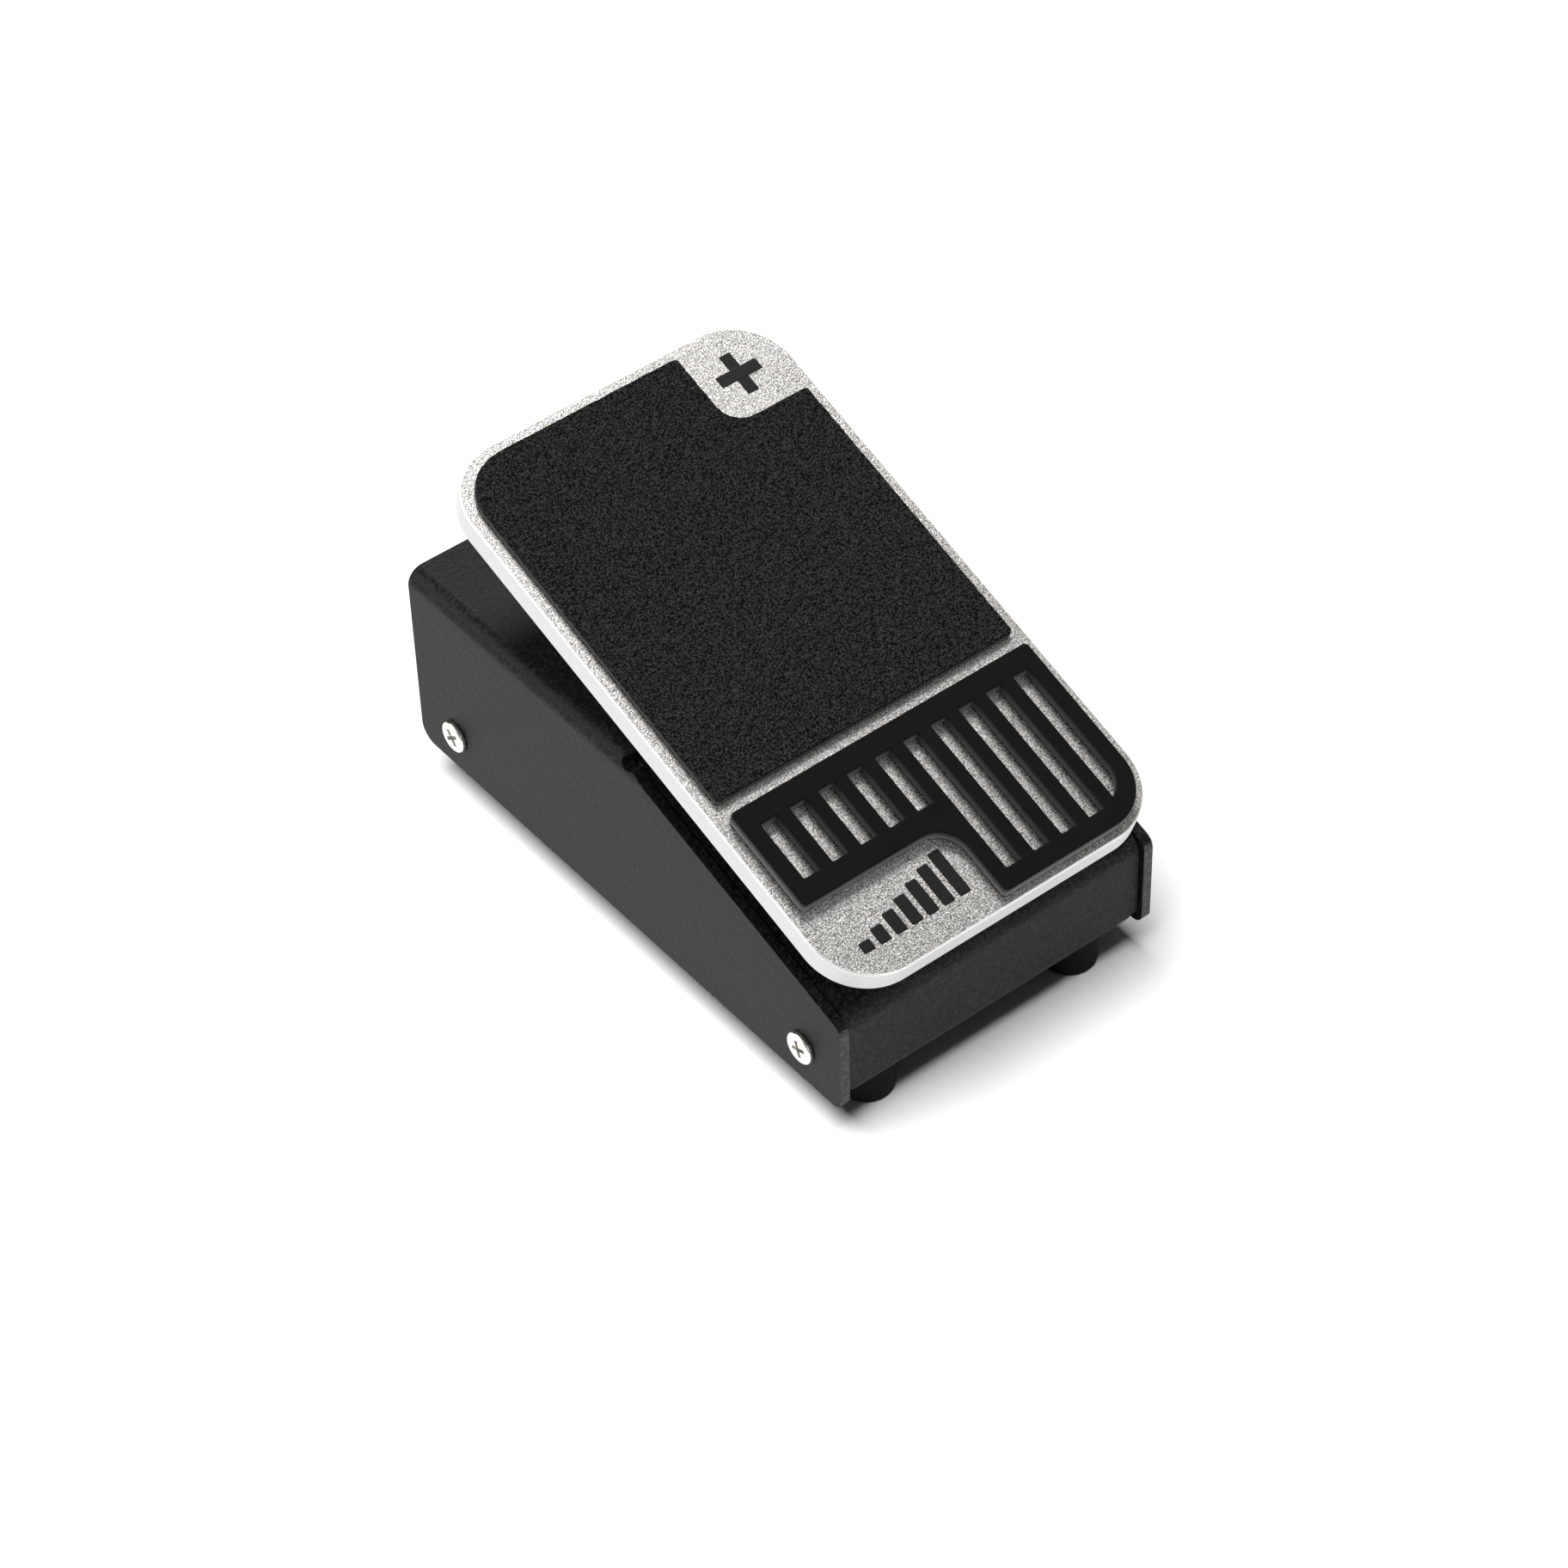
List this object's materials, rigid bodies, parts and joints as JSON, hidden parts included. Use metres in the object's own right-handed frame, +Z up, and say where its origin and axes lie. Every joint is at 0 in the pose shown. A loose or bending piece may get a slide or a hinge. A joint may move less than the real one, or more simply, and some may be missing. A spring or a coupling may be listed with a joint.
{
  "type": "volume pedal",
  "caption": "Compact foot pedal for instrument volume: a tilting metal treadle with grip pads on a folded sheet base, geared to a potentiometer.",
  "frame": {"origin": "on the ground, midway along and across the pedal", "axes": "+Z up, +Y from the heel end to the toe end, +X to the player's right"},
  "size_m": [0.0632, 0.1122, 0.0683],
  "materials": {
    "powder_coat": "fine-textured black powder coat",
    "blasted_aluminium": "bead-blasted, fine speckle",
    "grit_rubber": "coarse matte grip",
    "smooth_rubber": "smooth matte",
    "nickel": "nickel plate",
    "zinc_steel": "zinc plate",
    "nylon": "natural nylon",
    "brass": "machined",
    "black_plastic": "moulded",
    "board": "solder mask",
    "wire": "wire insulation"
  },
  "bodies": {
    "base": {"cover_shell": "powder_coat", "base_chassis": "powder_coat", "side_screw_heel_left": "nickel", "side_screw_heel_right": "nickel", "side_screw_toe_left": "nickel", "side_screw_toe_right": "nickel", "rubber_foot_1": "smooth_rubber", "rubber_foot_2": "smooth_rubber", "rubber_foot_3": "smooth_rubber", "rubber_foot_4": "smooth_rubber", "foot_screw_1": "zinc_steel", "foot_screw_2": "zinc_steel", "foot_screw_3": "zinc_steel", "foot_screw_4": "zinc_steel", "mechanism_frame": "zinc_steel", "frame_screw_1": "zinc_steel", "frame_screw_2": "zinc_steel", "frame_screw_3": "zinc_steel", "frame_screw_4": "zinc_steel", "axle_bush_left": "nylon", "axle_bush_right": "nylon", "pot_body": "zinc_steel", "pot_washer": "zinc_steel", "pot_nut": "zinc_steel", "jack_input": "black_plastic", "jack_output": "black_plastic", "jack_washer_input": "nickel", "jack_washer_output": "nickel", "jack_nut_input": "nickel", "jack_nut_output": "nickel", "circuit_board": "board", "pot_wire_1": "wire", "pot_wire_2": "wire", "pot_wire_3": "wire", "heel_bumper_left": "smooth_rubber", "heel_bumper_right": "smooth_rubber", "toe_bumper_left": "smooth_rubber", "toe_bumper_right": "smooth_rubber"},
    "treadle": {"treadle_plate": "blasted_aluminium", "grip_pad": "grit_rubber", "heel_pad": "smooth_rubber", "treadle_yoke": "zinc_steel", "yoke_screw_1": "zinc_steel", "yoke_screw_2": "zinc_steel", "yoke_screw_3": "zinc_steel", "yoke_screw_4": "zinc_steel", "treadle_axle": "zinc_steel", "axle_clip_left": "zinc_steel", "axle_clip_right": "zinc_steel", "gear_sector": "brass", "sector_set_screw": "zinc_steel"},
    "pot_rotor": {"pot_shaft": "zinc_steel", "pot_pinion": "brass"}
  },
  "joints": [
    {"name": "treadle_rock", "type": "hinge", "parent": "base", "child": "treadle", "pos_m": [0, -0.0066, 0.031], "axis": [-1, 0, 0], "range_deg": [0, 19.1]},
    {"name": "pot_turn", "type": "hinge", "parent": "base", "child": "pot_rotor", "pos_m": [0, 0.02081, 0.0188], "axis": [-1, 0, 0], "range_deg": [-96, 0]}
  ],
  "couplings": [
    {"joint": "pot_turn", "follows": "treadle_rock", "ratio": -5}
  ]
}
